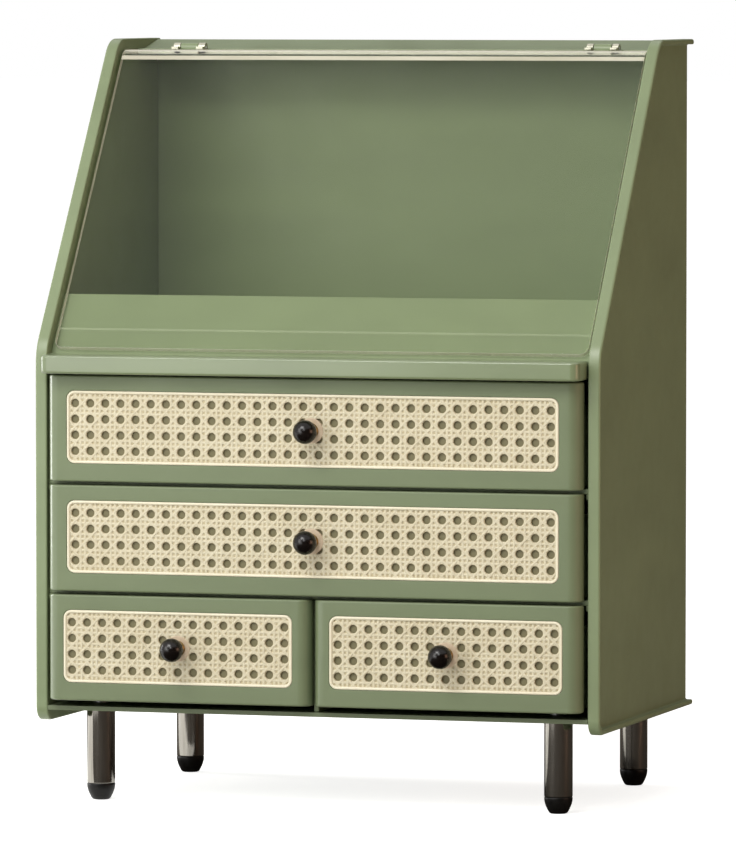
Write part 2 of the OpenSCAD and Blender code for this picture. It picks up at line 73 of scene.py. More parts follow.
LID_IN, LID_T, LID_HALF = 4.5, 2.5, 156.0  # the lid's outer face lies LID_IN in from the slant
LID_TOP = 423.8
LID_GAP = 2.0                              # between its foot and the shelf
LID_CORNER_R, LID_BEND_R = 5.0, 10.0
PAINTED_LINE = (12.0, 13.4)                      # up the slant from the lid's foot, the rows that bound a faint painted highlight line
BEND_LINES = ((0.01, 1.2), (3.2, 6.0))     # heights below LID_TOP of the two painted highlight lines along the bend
NOTCH_Y, LID_BACK = 154.2, 156.5           # where the hinge notches start, and the lid's rear edge
NOTCHES = (118.5, 129.5)                   # their sides

LEG_R, LEG_TOP = 8.0, 52.5
LEG_X, LEG_YS = 134.5, (("front", 25), ("rear", 188))

ROWS = {"upper": 182.4, "middle": 120.6, "left": 58.8, "right": 58.8}
CENTRE = {"upper": 0.0, "middle": 0.0, "left": -78.25, "right": 78.25}
WIDTH = {"upper": 311.0, "middle": 311.0, "left": 154.5, "right": 154.5}
COLS = {"upper": 32, "middle": 32, "left": 15, "right": 15}
CANE_ROWS = 4
FRONT_H, FRONT_Y, FRONT_BACK = 59.8, -8.0, 2.0
ROW_DROP = 2.5                             # from a front's foot down to the partition's underside
INSERT_Z = 30.7                            # middle of an insert above its front's foot
PITCH, CANE_H, CANE_R = 8.95, 40.95, 4.6
HOLE_R, BEAD_W, BEAD_GAP = 2.35, 1.7, 0.7
POCKET_GAP, POCKET_Y, CANE_BACK = 0.1, -5.7, -5.72
KNOB_R, KNOB_REACH, KNOB_BACK = 6.7, 11.0, 5.5


def place(x, y, z):
    return Vector((x, y - ORIGIN_Y, z)) * MM


# ---- Outlines ----------------------------------------------------------------

def arc_corner(a, b, c, r, n=12):
    """The corner at b between a and c, rounded to radius r."""
    a, b, c = Vector(a), Vector(b), Vector(c)
    u, v = (a - b).normalized(), (c - b).normalized()
    half = math.acos(max(-1, min(1, u.dot(v)))) / 2
    m = b + (u + v).normalized() * (r / math.sin(half))
    p, q = b + u * (r / math.tan(half)), b + v * (r / math.tan(half))
    a0, a1 = math.atan2(p.y - m.y, p.x - m.x), math.atan2(q.y - m.y, q.x - m.x)
    turn = (a1 - a0 + math.pi) % (2 * math.pi) - math.pi
    return [(m.x + r * math.cos(a0 + turn * i / n), m.y + r * math.sin(a0 + turn * i / n))
            for i in range(n + 1)]


def arc(cx, cy, r, start, n):
    """A quarter turn about (cx, cy), counter-clockwise from the angle start."""
    turns = [math.radians(start + 90 * i / n) for i in range(n + 1)]
    return [(cx + r * math.cos(a), cy + r * math.sin(a)) for a in turns]


def round_rect(w, h, r, n=8):
    """A rounded rectangle about (0, 0), counter-clockwise from its right side's foot."""
    x, y = w / 2 - r, h / 2 - r
    return arc(x, -y, r, -90, n) + arc(x, y, r, 0, n) + arc(-x, y, r, 90, n) + arc(-x, -y, r, 180, n)


def quarter(n):
    """(1 - cos, 1 - sin) of n + 1 angles from 0 to 90 degrees."""
    turns = [math.radians(90 * i / n) for i in range(n + 1)]
    return [(1 - math.cos(a), 1 - math.sin(a)) for a in turns]


def soft_levels(z0, z1, r, n=5):
    """(height, inset) up a plate whose top and bottom edges are rounded to r."""
    low = [(z0 + r * s, r * c) for c, s in reversed(quarter(n))]
    return low + [(z0 + z1 - z, d) for z, d in reversed(low)]


def on_slant(s, t):
    """The point s up the slanted front and t in from it."""
    return (s * math.sin(LEAN) + t * math.cos(LEAN), KNEE_Z + s * math.cos(LEAN) - t * math.sin(LEAN))


def slope_at(z, t):
    """How far up the slanted front a line t in from it meets the height z."""
    return (z - KNEE_Z + t * math.sin(LEAN)) / math.cos(LEAN)


# ---- Mesh helpers ------------------------------------------------------------

class Build:
    """Collects vertices and faces in the cabinet's frame."""

    def __init__(self):
        self.v, self.f, self.m = [], [], []

    def loop(self, pts):
        k = len(self.v)
        self.v += [place(*p) for p in pts]
        return list(range(k, k + len(pts)))

    def face(self, ids, mat=0):
        self.f.append(list(ids))
        self.m.append(mat)

    def bridge(self, a, b, closed=True, mat=0, skip=(), special=None):
        """Faces between two loops; special gives some of them another material, by their place."""
        special = special or {}
        n = len(a)
        for i in range(n if closed else n - 1):
            if i not in skip:
                j = (i + 1) % n
                self.face((a[i], a[j], b[j], b[i]), special.get(i, mat))

    def tube(self, loops, closed=True, mat=0):
        for a, b in zip(loops, loops[1:]):
            self.bridge(a, b, closed, mat)

    def holed(self, outer, inner):
        """A flat face inside outer with a hole inside inner."""
        ids = outer + inner
        for t in tessellate_polygon([[self.v[i] for i in outer], [self.v[i] for i in inner]]):
            self.face([ids[i] for i in t])

    def revolve(self, centre, profile, n=48, axis="z", mat=0):
        """profile is (radius, distance along the axis) from centre; axis is z or -y."""
        cx, cy, cz = centre
        rings = []
        for r, h in profile:
            if r < 1e-6:
                rings.append(self.loop([(cx, cy, cz + h) if axis == "z" else (cx, cy - h, cz)]))
                continue
            ring = []
            for i in range(n):
                a = 2 * math.pi * i / n
                c, s = r * math.cos(a), r * math.sin(a)
                ring.append((cx + c, cy + s, cz + h) if axis == "z" else (cx + c, cy - h, cz + s))
            rings.append(self.loop(ring))
        for a, b in zip(rings, rings[1:]):
            if len(a) == 1:
                for i in range(n):
                    self.face((a[0], b[(i + 1) % n], b[i]), mat)
            elif len(b) == 1:
                for i in range(n):
                    self.face((a[i], a[(i + 1) % n], b[0]), mat)
            else:
                self.bridge(a, b, mat=mat)

    def make(self, name, mats, body, node, angle=32, bevel=0.0, weld=True):
        """The piece that rides on body and stands for the CAD node."""
        me = bpy.data.meshes.new(name)
        bm = bmesh.new()
        vs = [bm.verts.new(p) for p in self.v]
        for ids, mat in zip(self.f, self.m):
            if len(set(ids)) > 2:
                bm.faces.new([vs[i] for i in ids]).material_index = mat
        bmesh.ops.delete(bm, geom=[v for v in bm.verts if not v.link_faces], context="VERTS")
        if weld:
            bmesh.ops.remove_doubles(bm, verts=bm.verts, dist=1e-6)
        bmesh.ops.recalc_face_normals(bm, faces=bm.faces)
        bm.to_mesh(me)
        bm.free()
        return dress(me, name, mats, body, node, angle, bevel)


def dress(me, name, mats, body, node, angle=32, bevel=0.0):
    ob = bpy.data.objects.new(name, me)
    bpy.context.scene.collection.objects.link(ob)
    if len(me.materials):                  # clearing an empty list would reset the faces' materials
        me.materials.clear()
    for m in mats:
        me.materials.append(m)
    me.shade_smooth()
    me.set_sharp_from_angle(angle=math.radians(angle))
    if bevel:
        b = ob.modifiers.new("edges", "BEVEL")
        b.width = bevel * MM
        b.segments = 2
        b.limit_method = "ANGLE"
        b.angle_limit = math.radians(40)
        b.use_clamp_overlap = True
        b.harden_normals = False
        b.miter_outer = "MITER_ARC"
    w = ob.modifiers.new("normals", "WEIGHTED_NORMAL")
    w.keep_sharp = not bevel
    w.weight = 80
    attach(ob, body)
    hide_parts(node)
    return ob


def carry(node, name, mat, body, bevel=0.5):
    """A copy of a CAD node with its flat faces joined up and its edges rounded over."""
    me = frame["nodes"][node].data.copy()
    me.name = name
    bm = bmesh.new()
    bm.from_mesh(me)
    bmesh.ops.remove_doubles(bm, verts=bm.verts, dist=2e-6)
    bmesh.ops.dissolve_limit(bm, angle_limit=math.radians(0.5), verts=bm.verts, edges=bm.edges,
                             use_dissolve_boundaries=False)
    bmesh.ops.recalc_face_normals(bm, faces=bm.faces)
    for f in bm.faces:
        f.material_index = 0
    bm.to_mesh(me)
    bm.free()
    return dress(me, name, [mat], body, node, bevel=bevel)


# ---- Materials ---------------------------------------------------------------

def lin(*rgb):
    """A colour written as 8-bit sRGB, in linear light."""
    parts = [c / 255 for c in rgb]
    return tuple(c / 12.92 if c <= 0.04045 else ((c + 0.055) / 1.055) ** 2.4 for c in parts)


def shade(colour, factor):
    return tuple(min(1, c * factor) for c in colour)


class Mat:
    """A procedural material round one Principled shader."""

    def __init__(self, name, **sockets):
        self.m = bpy.data.materials.new(name)
        self.m.use_nodes = True
        self.t = self.m.node_tree
        self.t.nodes.clear()
        self.out = self.t.nodes.new("ShaderNodeOutputMaterial")
        self.p = self.t.nodes.new("ShaderNodeBsdfPrincipled")
        self.link(self.p.outputs[0], self.out.inputs[0])
        for k, v in sockets.items():
            self.p.inputs[k.replace("_", " ")].default_value = v
        self.co = self.t.nodes.new("ShaderNodeTexCoord").outputs["Object"]

    def link(self, a, b):
        self.t.links.new(a, b)

    def node(self, kind, **props):
        n = self.t.nodes.new(kind)
        for k, v in props.items():
            setattr(n, k, v)
        return n

    def noise(self, scale, detail=3.0, rough=0.5, stretch=None, distortion=0.0):
        n = self.node("ShaderNodeTexNoise")
        n.inputs["Scale"].default_value = scale
        n.inputs["Detail"].default_value = detail
        n.inputs["Roughness"].default_value = rough
        n.inputs["Distortion"].default_value = distortion
        src = self.co
        if stretch:
            mp = self.node("ShaderNodeMapping")
            mp.inputs["Scale"].default_value = stretch
            self.link(self.co, mp.inputs["Vector"])
            src = mp.outputs[0]
        self.link(src, n.inputs["Vector"])
        return n.outputs["Fac"]

    def range(self, fac, lo, hi):
        """Spreads a noise's usual range over lo to hi."""
        n = self.node("ShaderNodeMapRange")
        n.inputs["From Min"].default_value = 0.3
        n.inputs["From Max"].default_value = 0.7
        n.inputs["To Min"].default_value = lo
        n.inputs["To Max"].default_value = hi
        self.link(fac, n.inputs["Value"])
        return n.outputs[0]

    def colour(self, fac, a, b):
        n = self.node("ShaderNodeMix", data_type="RGBA")
        self.link(fac, n.inputs[0])
        n.inputs[6].default_value = (*a, 1)
        n.inputs[7].default_value = (*b, 1)
        self.link(n.outputs[2], self.p.inputs["Base Color"])

    def rough(self, fac):
        self.link(fac, self.p.inputs["Roughness"])

    def bump(self, *layers):
        """layers of (fac, strength, distance in mm)."""
        prev = None
        for fac, strength, dist in layers:
            b = self.node("ShaderNodeBump")
            b.inputs["Strength"].default_value = strength
            b.inputs["Distance"].default_value = dist * MM
            self.link(fac, b.inputs["Height"])
            if prev is not None:
                self.link(prev, b.inputs["Normal"])
            prev = b.outputs[0]
        self.link(prev, self.p.inputs["Normal"])


def plastic(name, base, r0=0.30, r1=0.42, grain=0.25, coat=0.0):
    """Moulded plastic: flow marks, a faint orange peel and slight handling haze."""
    m = Mat(name, IOR=1.46, Coat_Weight=coat, Coat_Roughness=0.12)
    flow = m.noise(9, 4, 0.55, stretch=(1, 1, 2.2), distortion=0.6)
    m.colour(m.range(flow, 0, 1), shade(base, 0.93), shade(base, 1.06))
    haze = m.noise(38, 5, 0.6)
    m.rough(m.range(haze, r0, r1))
    m.bump((m.noise(620, 2, 0.5), grain, 0.014), (m.noise(60, 2, 0.5), 0.1, 0.1))
    return m.m


def grained(name, tones, rough, bump, grain, patch=None, relief=None, reach=1.0, **sockets):
    """A surface whose grain, a noise, sets its tone, roughness and bump.

    patch and relief are other noises for the tone and the bump, and reach is how far the
    tone goes from the first of tones to the second.
    """
    m = Mat(name, **sockets)
    fine = m.noise(*grain)
    m.colour(m.range(m.noise(*patch) if patch else fine, 0, reach), *tones)
    m.rough(m.range(fine, *rough))
    if bump:
        m.bump((m.noise(*relief) if relief else fine, *bump))
    return m.m


def acrylic():
    """Clear sheet with a light smoke tint; what it mirrors follows Schlick's curve."""
    m = Mat("smoked_acrylic")
    m.t.nodes.remove(m.p)
    clear = m.node("ShaderNodeBsdfTransparent")
    clear.inputs[0].default_value = (*lin(249, 250, 246), 1)
    gloss = m.node("ShaderNodeBsdfAnisotropic")
    gloss.inputs["Color"].default_value = (1, 1, 1, 1)
    m.link(m.range(m.noise(30, 3, 0.5), 0.03, 0.07), gloss.inputs["Roughness"])
    lw = m.node("ShaderNodeLayerWeight")
    lw.inputs["Blend"].default_value = 0.5
    power = m.node("ShaderNodeMath", operation="POWER")
    m.link(lw.outputs["Facing"], power.inputs[0])
    power.inputs[1].default_value = 4.0
    share = m.node("ShaderNodeMath", operation="MULTIPLY_ADD")
    m.link(power.outputs[0], share.inputs[0])
    share.inputs[1].default_value = 0.6
    share.inputs[2].default_value = 0.015
    mx = m.node("ShaderNodeMixShader")
    m.link(share.outputs[0], mx.inputs[0])
    m.link(clear.outputs[0], mx.inputs[1])
    m.link(gloss.outputs[0], mx.inputs[2])
    m.link(mx.outputs[0], m.out.inputs[0])
    return m.m


SAGE = lin(125, 138, 103)
sage = plastic("sage_gloss", SAGE)
# Painted shade: the nose is the body's plastic painted a little darker, at 0.88 of it, and given a coat.
sage_nose_painted_shade = plastic("sage_nose_painted_shade", shade(SAGE, 0.88), 0.29, 0.32, 0.1, coat=0.5)
# Painted shade: the drawer fronts are the body's plastic painted darker, at 0.75 of it, and their shining
# left roundings at 0.74.
sage_front_painted_shade = plastic("sage_front_painted_shade", shade(SAGE, 0.75), 0.40, 0.50, 0.25)
sage_edge_painted_shade = plastic("sage_edge_painted_shade", shade(SAGE, 0.74), 0.30, 0.36, 0.15, coat=0.5)
# Painted shade: the base panel, recessed below the drawers, is the body's plastic painted darker, at 0.6 of
# it.
sage_base_painted_shade = plastic("sage_base_painted_shade", shade(SAGE, 0.6), 0.40, 0.50, 0.2)
sage_inner = plastic("sage_inside", shade(SAGE, 0.97), 0.36, 0.5, 0.12)
sage_tray = plastic("sage_tray", shade(SAGE, 0.97), 0.34, 0.46, 0.3)
# Painted shade: the floor of the pockets behind the cane holes is painted a dark olive brown, where the
# plastic lies in shade.
pocket_floor_painted_shade = plastic("sage_pocket_painted_shade", lin(114, 108, 78), 0.5, 0.65, 0.3)

cane = grained("cane_cream", (lin(206, 198, 172), lin(192, 181, 151)), (0.38, 0.52), (0.3, 0.05),
               (900, 3, 0.6), patch=(70, 3, 0.5), reach=0.55, IOR=1.45)
# Painted shade: the sheet below the strands is the cream painted darker, as it lies below them.
cane_ground_painted_shade = grained("cane_ground_painted_shade", (lin(176, 163, 130), lin(192, 180, 148)), (0.5, 0.65), (0.3, 0.05),
                      (900, 3, 0.6), IOR=1.45)
cane_boss = grained("cane_boss", (lin(188, 168, 142), lin(202, 184, 158)), (0.4, 0.52), (0.15, 0.04),
                    (300, 3, 0.6), IOR=1.45)
cane_bead = grained("cane_bead", (lin(226, 220, 196), lin(214, 203, 174)), (0.30, 0.42), (0.2, 0.04),
                    (420, 3, 0.6), patch=(55, 3, 0.5), reach=0.5, IOR=1.45)
knob_black = grained("knob_black", (lin(10, 6, 5), lin(18, 12, 9)), (0.2, 0.26), (0.08, 0.03),
                     (260, 4, 0.6), patch=(120, 3, 0.5), relief=(500, 2, 0.5), IOR=1.5,
                     Specular_IOR_Level=0.36)
rubber = grained("rubber_foot", (lin(9, 8, 7), lin(20, 19, 17)), (0.32, 0.5), (0.25, 0.05),
                 (260, 4, 0.6), relief=(900, 2, 0.5), IOR=1.5, Specular_IOR_Level=0.22)
brass = grained("antique_brass", (lin(112, 92, 52), lin(176, 150, 96)), (0.24, 0.42), (0.12, 0.03),
                (700, 4, 0.6, (1, 6, 1)), Metallic=1.0)
chrome = grained("chrome_tube", (lin(144, 140, 132), lin(168, 164, 156)), (0.07, 0.14), (0.04, 0.02),
                 (300, 4, 0.6, (1, 1, 0.1)), Metallic=1.0)
steel = grained("zinc_steel", (lin(170, 170, 166), lin(205, 206, 204)), (0.26, 0.42), (0.15, 0.03),
                (420, 4, 0.6), Metallic=1.0)
lug = grained("bright_lug", (lin(176, 174, 156), lin(198, 196, 178)), (0.36, 0.46), (0.1, 0.03),
              (500, 3, 0.6), Metallic=1.0)
smoke = acrylic()
# Painted highlight: the lid's cut edges are painted a light cream, for the light they catch.
smoke_edge_painted_highlight = grained("acrylic_edge_painted_highlight", (lin(215, 211, 192), lin(241, 237, 222)), (0.26, 0.34), (0.02, 0.03),
                     (60, 3, 0.5, (0.2, 1, 1)), IOR=1.49, Transmission_Weight=0.25)
# Painted highlight: two light cream lines along the lid's bend.
smoke_bend_painted_highlight = grained("acrylic_bend_painted_highlight", (lin(214, 208, 184), lin(242, 236, 216)), (0.12, 0.24), (0.05, 0.03),
                     (90, 3, 0.5, (0.2, 1, 1)), IOR=1.49, Transmission_Weight=0.35)
# Painted highlight: a faint light line across the lid, a little above its foot.
smoke_painted_line = grained("acrylic_painted_line", (lin(196, 206, 174), lin(226, 232, 204)), (0.3, 0.5), None,
                       (40, 3, 0.5, (0.1, 1, 1)), IOR=1.49, Alpha=0.13)


# ---- Side panels -------------------------------------------------------------

def side_outline(t):
    """The rim's line, t inside its outer edge, from the rear foot round to the rear top."""
    foot = (t, SIDE_Z + t)
    knee = (t, KNEE_Z - t * math.tan(LEAN / 2))
    head = (HEAD_Y + t * math.tan(math.pi / 4 - LEAN / 2), CAB_H - t)
    rear_foot, rear_top = (CAB_D, SIDE_Z + t), (CAB_D, CAB_H - t)
    return ([rear_foot] + arc_corner(rear_foot, foot, knee, FOOT_R - t, 10)
            + arc_corner(foot, knee, head, KNEE_R - t, 14)
            + arc_corner(knee, head, rear_top, HEAD_R - t, 16) + [rear_top])


def cleat(b, side, front, underside, height=3.0, reach=2.0, soft=0.5):
    """A ledge on a side panel's inner face, below the shelf or a partition."""
    ring = [(front, underside - height), (front, underside),
            (BOARD_BACK, underside), (BOARD_BACK, underside - height)]
    root, face = side * (WEB_IN + 0.2), side * (WEB_IN - reach)
    loops = [b.loop([(root, y, z) for y, z in ring]),
             b.loop([(face + side * soft, y, z) for y, z in ring]),
             b.loop([(face, y + (soft if y == front else 0), z + (soft if z < underside else 0))
                     for y, z in ring])]
    b.tube(loops)
    b.face(loops[-1])


def side_panel(side, name):
    b = Build()
    soft, bold = 0.9, 1.4            # radii of the rim's edges
    # (inset, x) from the inner face over the rim to the web
    prof = [(soft * s, WEB_IN + soft * c) for c, s in quarter(4)]
    prof += [(bold * c, RIM_OUT - bold * s) for c, s in quarter(6)]
    prof += [(RIM_T - soft * s, RIM_OUT - soft * c) for c, s in quarter(4)]
    prof += [(RIM_T + soft * c, WEB_OUT + soft * s) for c, s in quarter(4)]
    loops = [b.loop([(side * x, y, z) for y, z in side_outline(t)]) for t, x in prof]
    b.tube(loops, closed=False)
    b.face(loops[0])
    b.face(loops[-1])
    b.face([lp[0] for lp in loops] + [lp[-1] for lp in reversed(loops)])
    cleat(b, side, 10.5, SHELF_TOP - BOARD_T)
    for row in ("upper", "middle"):
        cleat(b, side, 3.5, ROWS[row] - ROW_DROP)
    b.make("side_panel_%s_moulding" % name, [sage], "cabinet", "side_panel_" + name)


# ---- Shelf, fence and lid ----------------------------------------------------

def shelf():
    """The nose, a bar with rounded edges, and the board behind it."""
    b = Build()
    foot, front, back, width, end_r, soft = 243.3, -17.0, 9.5, 314.0, 5.0, 1.5
    nose = [b.loop([(x, (front + back) / 2 + y, z)
                    for x, y in round_rect(width - 2 * d, back - front - 2 * d, end_r - d, 10)])
            for z, d in soft_levels(foot, SHELF_TOP, soft)]
    # The nose takes the second material, the plastic painted a little darker: painted shade.
    b.tube(nose, mat=1)
    b.face(nose[0], 1)
    b.face(nose[-1], 1)
    start, below = 4.0, 0.004        # the board starts inside the nose, just below its top
    corners = ((-WEB_IN, start), (WEB_IN, start), (WEB_IN, BOARD_BACK), (-WEB_IN, BOARD_BACK))
    board = [b.loop([(x, y, z) for x, y in corners])
             for z in (SHELF_TOP - BOARD_T, SHELF_TOP - below)]
    b.tube(board)
    b.face(board[0])
    b.face(board[1])
    b.make("shelf_moulding", [sage, sage_nose_painted_shade], "cabinet", "shelf", weld=False)


def fence():
    """The strip behind the foot of the lid, leaning as the lid does, with a rounded top."""
    b = Build()
    low_in, low_out = [(on_slant(slope_at(SHELF_TOP, t), t)[0], SHELF_TOP) for t in (FENCE_IN, FENCE_OUT)]
    top = slope_at(FENCE_TOP, FENCE_IN)
    top_in, top_out = on_slant(top, FENCE_IN), on_slant(top, FENCE_OUT)
    prof = ([low_in] + arc_corner(low_in, top_in, top_out, 1.0, 5)
            + arc_corner(top_in, top_out, low_out, 1.0, 5) + [low_out])
    ends = [b.loop([(x, y, z) for y, z in prof]) for x in (-WEB_IN, WEB_IN)]
    b.tube(ends)
    b.face(ends[0])
    b.face(ends[1])
    b.make("front_fence_moulding", [sage], "cabinet", "front_fence")


def lid_rows():
    """(outer point, inner point, half width) up the bent sheet, from its foot to its rear edge."""
    deep = LID_IN + LID_T
    foot = slope_at(SHELF_TOP + LID_GAP, deep)
    arc_o = arc_corner(on_slant(foot, LID_IN), on_slant(slope_at(LID_TOP, LID_IN), LID_IN),
                       (LID_BACK, LID_TOP), LID_BEND_R)
    arc_i = arc_corner(on_slant(foot, deep), on_slant(slope_at(LID_TOP - LID_T, deep), deep),
                       (LID_BACK, LID_TOP - LID_T), LID_BEND_R - LID_T)
    rows = [(on_slant(foot + LID_CORNER_R * c, LID_IN), on_slant(foot + LID_CORNER_R * c, deep),
             LID_HALF - LID_CORNER_R * s) for c, s in quarter(8)]
    start = foot + LID_CORNER_R
    start_o, start_i = Vector(on_slant(start, LID_IN)), Vector(on_slant(start, deep))
    end_o, end_i = Vector(arc_o[0]), Vector(arc_i[0])
    slant = (end_o - start_o).length
    painted_line = [(s - LID_CORNER_R) / slant for s in PAINTED_LINE]
    for u in sorted([k / 12 for k in range(1, 12)] + [0.9895] + painted_line):
        rows.append((tuple(start_o.lerp(end_o, u)), tuple(start_i.lerp(end_i, u)), LID_HALF))
    rows += [(o, i, LID_HALF) for o, i in zip(arc_o, arc_i)]
    return rows + [((y, LID_TOP), (y, LID_TOP - LID_T), LID_HALF) for y in (NOTCH_Y, LID_BACK)]


def lid_material(low, high, foot):
    """Painted highlights: two light lines along the bend and a faint light line above the foot."""
    mid = (low + high) / 2
    if any(a < LID_TOP - mid < b for a, b in BEND_LINES):
        return 2
    # the faint painted highlight line above the foot
    return 3 if 9 < mid - foot < 11.5 and high - low < 2 else 0


def lid():
    """The bent sheet, notched round the hinge blocks."""
    rows = lid_rows()
    near, far = NOTCHES
    xs = [-far, -near, -60, 0, 60, near, far]
    b = Build()
    outer, inner = [], []
    for o, i, w in rows:
        cols = [-w] + xs + [w]
        outer.append(b.loop([(x, *o) for x in cols]))
        inner.append(b.loop([(x, *i) for x in cols]))
    last, notched = len(rows) - 2, (1, 6)      # the row and the columns that the notches cut
    cells = {(r, c) for r in range(len(rows) - 1) for c in range(len(xs) + 1)
             if r < last or c not in notched}
    foot = rows[0][0][1]
    for r, c in sorted(cells):
        corners = [(r, c), (r, c + 1), (r + 1, c + 1), (r + 1, c)]
        b.face([outer[i][j] for i, j in corners], lid_material(rows[r][0][1], rows[r + 1][0][1], foot))
        b.face([inner[i][j] for i, j in reversed(corners)], 0)
        sides = (((r - 1, c), (0, 1)), ((r + 1, c), (3, 2)), ((r, c - 1), (0, 3)), ((r, c + 1), (1, 2)))
        for neighbour, (p, q) in sides:
            if neighbour not in cells:
                (pr, pc), (qr, qc) = corners[p], corners[q]
                b.face((outer[pr][pc], outer[qr][qc], inner[qr][qc], inner[pr][pc]), 1)
    ob = b.make("lid_sheet", [smoke, smoke_edge_painted_highlight, smoke_bend_painted_highlight, smoke_painted_line], "lid",
                "lid_window", angle=40, bevel=0.6)
    # The rounded edges take the light cream of the painted highlight.
    ob.modifiers["edges"].material = 1


# ---- Plain panels and fittings: the CAD shape with rounded edges -------------

def panels():
    # The base panel, recessed below the drawers, takes the darker copy of the plastic: painted shade.
    for node, mat, soft in (("top_panel", sage, 0.5), ("back_panel", sage_inner, 0.5),
                            ("base_panel", sage_base_painted_shade, 0.6), ("partition_upper", sage_inner, 0.6),
                            ("partition_lower", sage_inner, 0.6), ("centre_divider", sage_inner, 0.6)):
        carry(node, node + "_moulding", mat, "cabinet", soft)


def hinges():
    for end in ("left", "right"):
        carry("hinge_block_" + end, "hinge_block_%s_moulding" % end, sage, "cabinet", 0.35)
        carry("hinge_pin_" + end, "hinge_pin_%s_turned" % end, steel, "cabinet", 0.25)
        carry("lid_lugs_" + end, "lid_lugs_%s_plated" % end, lug, "lid", 0.4)


# ---- Legs --------------------------------------------------------------------

def leg(x, y, tag):
    """A bright tube with a closed top that the screw goes through, and a black cap in its foot."""
    bore, cap_top, screw = 6.8, 9.5, 2.5
    tube = Build()
    tube.revolve((x, y, 0), [
        (bore, cap_top + 0.1), (bore + 0.15, cap_top + 0.02), (LEG_R - 0.5, cap_top),
        (LEG_R - 0.15, cap_top + 0.12), (LEG_R, cap_top + 0.45), (LEG_R, 18), (LEG_R, 30), (LEG_R, 42),
        (LEG_R, LEG_TOP - 0.6), (LEG_R - 0.18, LEG_TOP - 0.2), (LEG_R - 0.6, LEG_TOP),
        (screw + 0.1, LEG_TOP), (screw, LEG_TOP - 0.2), (screw, LEG_TOP - 8), (bore, LEG_TOP - 8),
        (bore, cap_top + 0.1)], 56)
    tube.make("leg_tube_" + tag, [chrome], "cabinet", "leg_" + tag, angle=50)
    cap = Build()
    cap.revolve((x, y, 0), [
        (0, 0), (3.2, 0), (4.3, 0.06), (5.0, 0.4), (5.7, 1.4), (6.7, 3.4), (7.4, 5.2), (7.86, 6.9),
        (LEG_R, 8.4), (7.97, 9.1), (7.7, 9.42), (7.2, cap_top), (bore, cap_top), (bore, cap_top + 8),
        (bore - 1, cap_top + 9), (0, cap_top + 9)], 56)
    cap.make("foot_cap_" + tag, [rubber], "cabinet", "foot_" + tag, angle=60)


def legs():
    for side, end in ((-1, "left"), (1, "right")):
        for depth, y in LEG_YS:
            leg(side * LEG_X, y, depth + "_" + end)


# ---- Drawers -----------------------------------------------------------------

def insert_w(k):
    return (COLS[k] - 1) * PITCH + 2 * (HOLE_R + BEAD_GAP + BEAD_W)


def drawer_front(k):
    """The front, with upright roundings at its ends and a pocket for the insert."""
    b = Build()
    w, cx, z0, n = WIDTH[k], CENTRE[k], ROWS[k], 10
    end_r, soft = 7.0, 1.1
    x, y = w / 2 - end_r, FRONT_Y + end_r
    loops = []
    for z, d in soft_levels(z0, z0 + FRONT_H, soft):
        ring = [(w / 2 - d, FRONT_BACK), (d - w / 2, FRONT_BACK)]
        ring += arc(-x, y, end_r - d, 180, n) + arc(x, y, end_r - d, 270, n)
        loops.append(b.loop([(cx + px, py, z) for px, py in ring]))
    flat = 2 + n                     # place of the flat face between the roundings
    polish = {i: 2 for i in range(flat - 9, flat - 1)}      # the left rounding shines
    mid = len(loops) // 2
    for i, (p, q) in enumerate(zip(loops, loops[1:])):
        b.bridge(p, q, skip=(flat,) if i == mid - 1 else (), special=polish)
    b.face(loops[0])
    b.face(loops[-1])
    iw, ih, zc = insert_w(k) + 2 * POCKET_GAP, CANE_H + 2 * POCKET_GAP, z0 + INSERT_Z
    pocket = [b.loop([(cx + x, y, zc + z) for x, z in round_rect(iw + 2 * off, ih + 2 * off, CANE_R + off)])
              for y, off in ((FRONT_Y, 0.4), (FRONT_Y + 0.1, 0.12), (FRONT_Y + 0.4, 0), (POCKET_Y, 0))]
    p, q = loops[mid - 1], loops[mid]
    b.holed([p[flat], p[flat + 1], q[flat + 1], q[flat]], pocket[0])
    b.tube(pocket)
    # The pocket's floor is painted dark olive brown: painted shade behind the cane holes.
    b.face(pocket[-1], 1)
    # The fronts and their shining left roundings are the plastic painted darker: painted shade.
    b.make("drawer_front_" + k, [sage_front_painted_shade, pocket_floor_painted_shade, sage_edge_painted_shade], "drawer_" + k,
           "front_" + k)


def inside_span(w, h, r, p, d, step=0.25, reach=350):
    """The stretch of the line p + t * d inside a rounded rectangle about (0, 0), or None."""
    def inside(t):
        x, z = abs(p[0] + t * d[0]), abs(p[1] + t * d[1])
        ex, ez = x - (w / 2 - r), z - (h / 2 - r)
        return x <= w / 2 and z <= h / 2 and (ex <= 0 or ez <= 0 or ex * ex + ez * ez <= r * r)

    n = round(reach / step)
    good = [i * step for i in range(-n, n + 1) if inside(i * step)]
    return (good[0], good[-1]) if good else None


def strand(b, cx, zc, p, d, span, width, lift, wave, phase):
    """One split of cane along d through p: a crowned ribbon that dips under its neighbours."""
    thick, ground = 0.55, -6.95
    stretch = math.sqrt(2) if abs(d[0]) > 0.01 and abs(d[1]) > 0.01 else 1.0
    start, end = span
    n = max(2, int(math.ceil((end - start) / (PITCH / 5 * stretch))))
    crown = [(-0.5, 0.0), (-0.44, 0.62), (-0.18, 1.0), (0.18, 1.0), (0.44, 0.62), (0.5, 0.0)]
    rings = []
    for i in range(n + 1):
        t = start + (end - start) * i / n
        x, z = p[0] + t * d[0], p[1] + t * d[1]
        h = lift + wave * math.cos(phase + t * math.pi / (PITCH * stretch))
        rings.append(b.loop([(cx + x - d[1] * u * width, ground - (h + thick * (v - 1)),
                              zc + z + d[0] * u * width) for u, v in crown]))
    b.tube(rings, closed=False)
    b.face(rings[0])
    b.face(rings[-1])


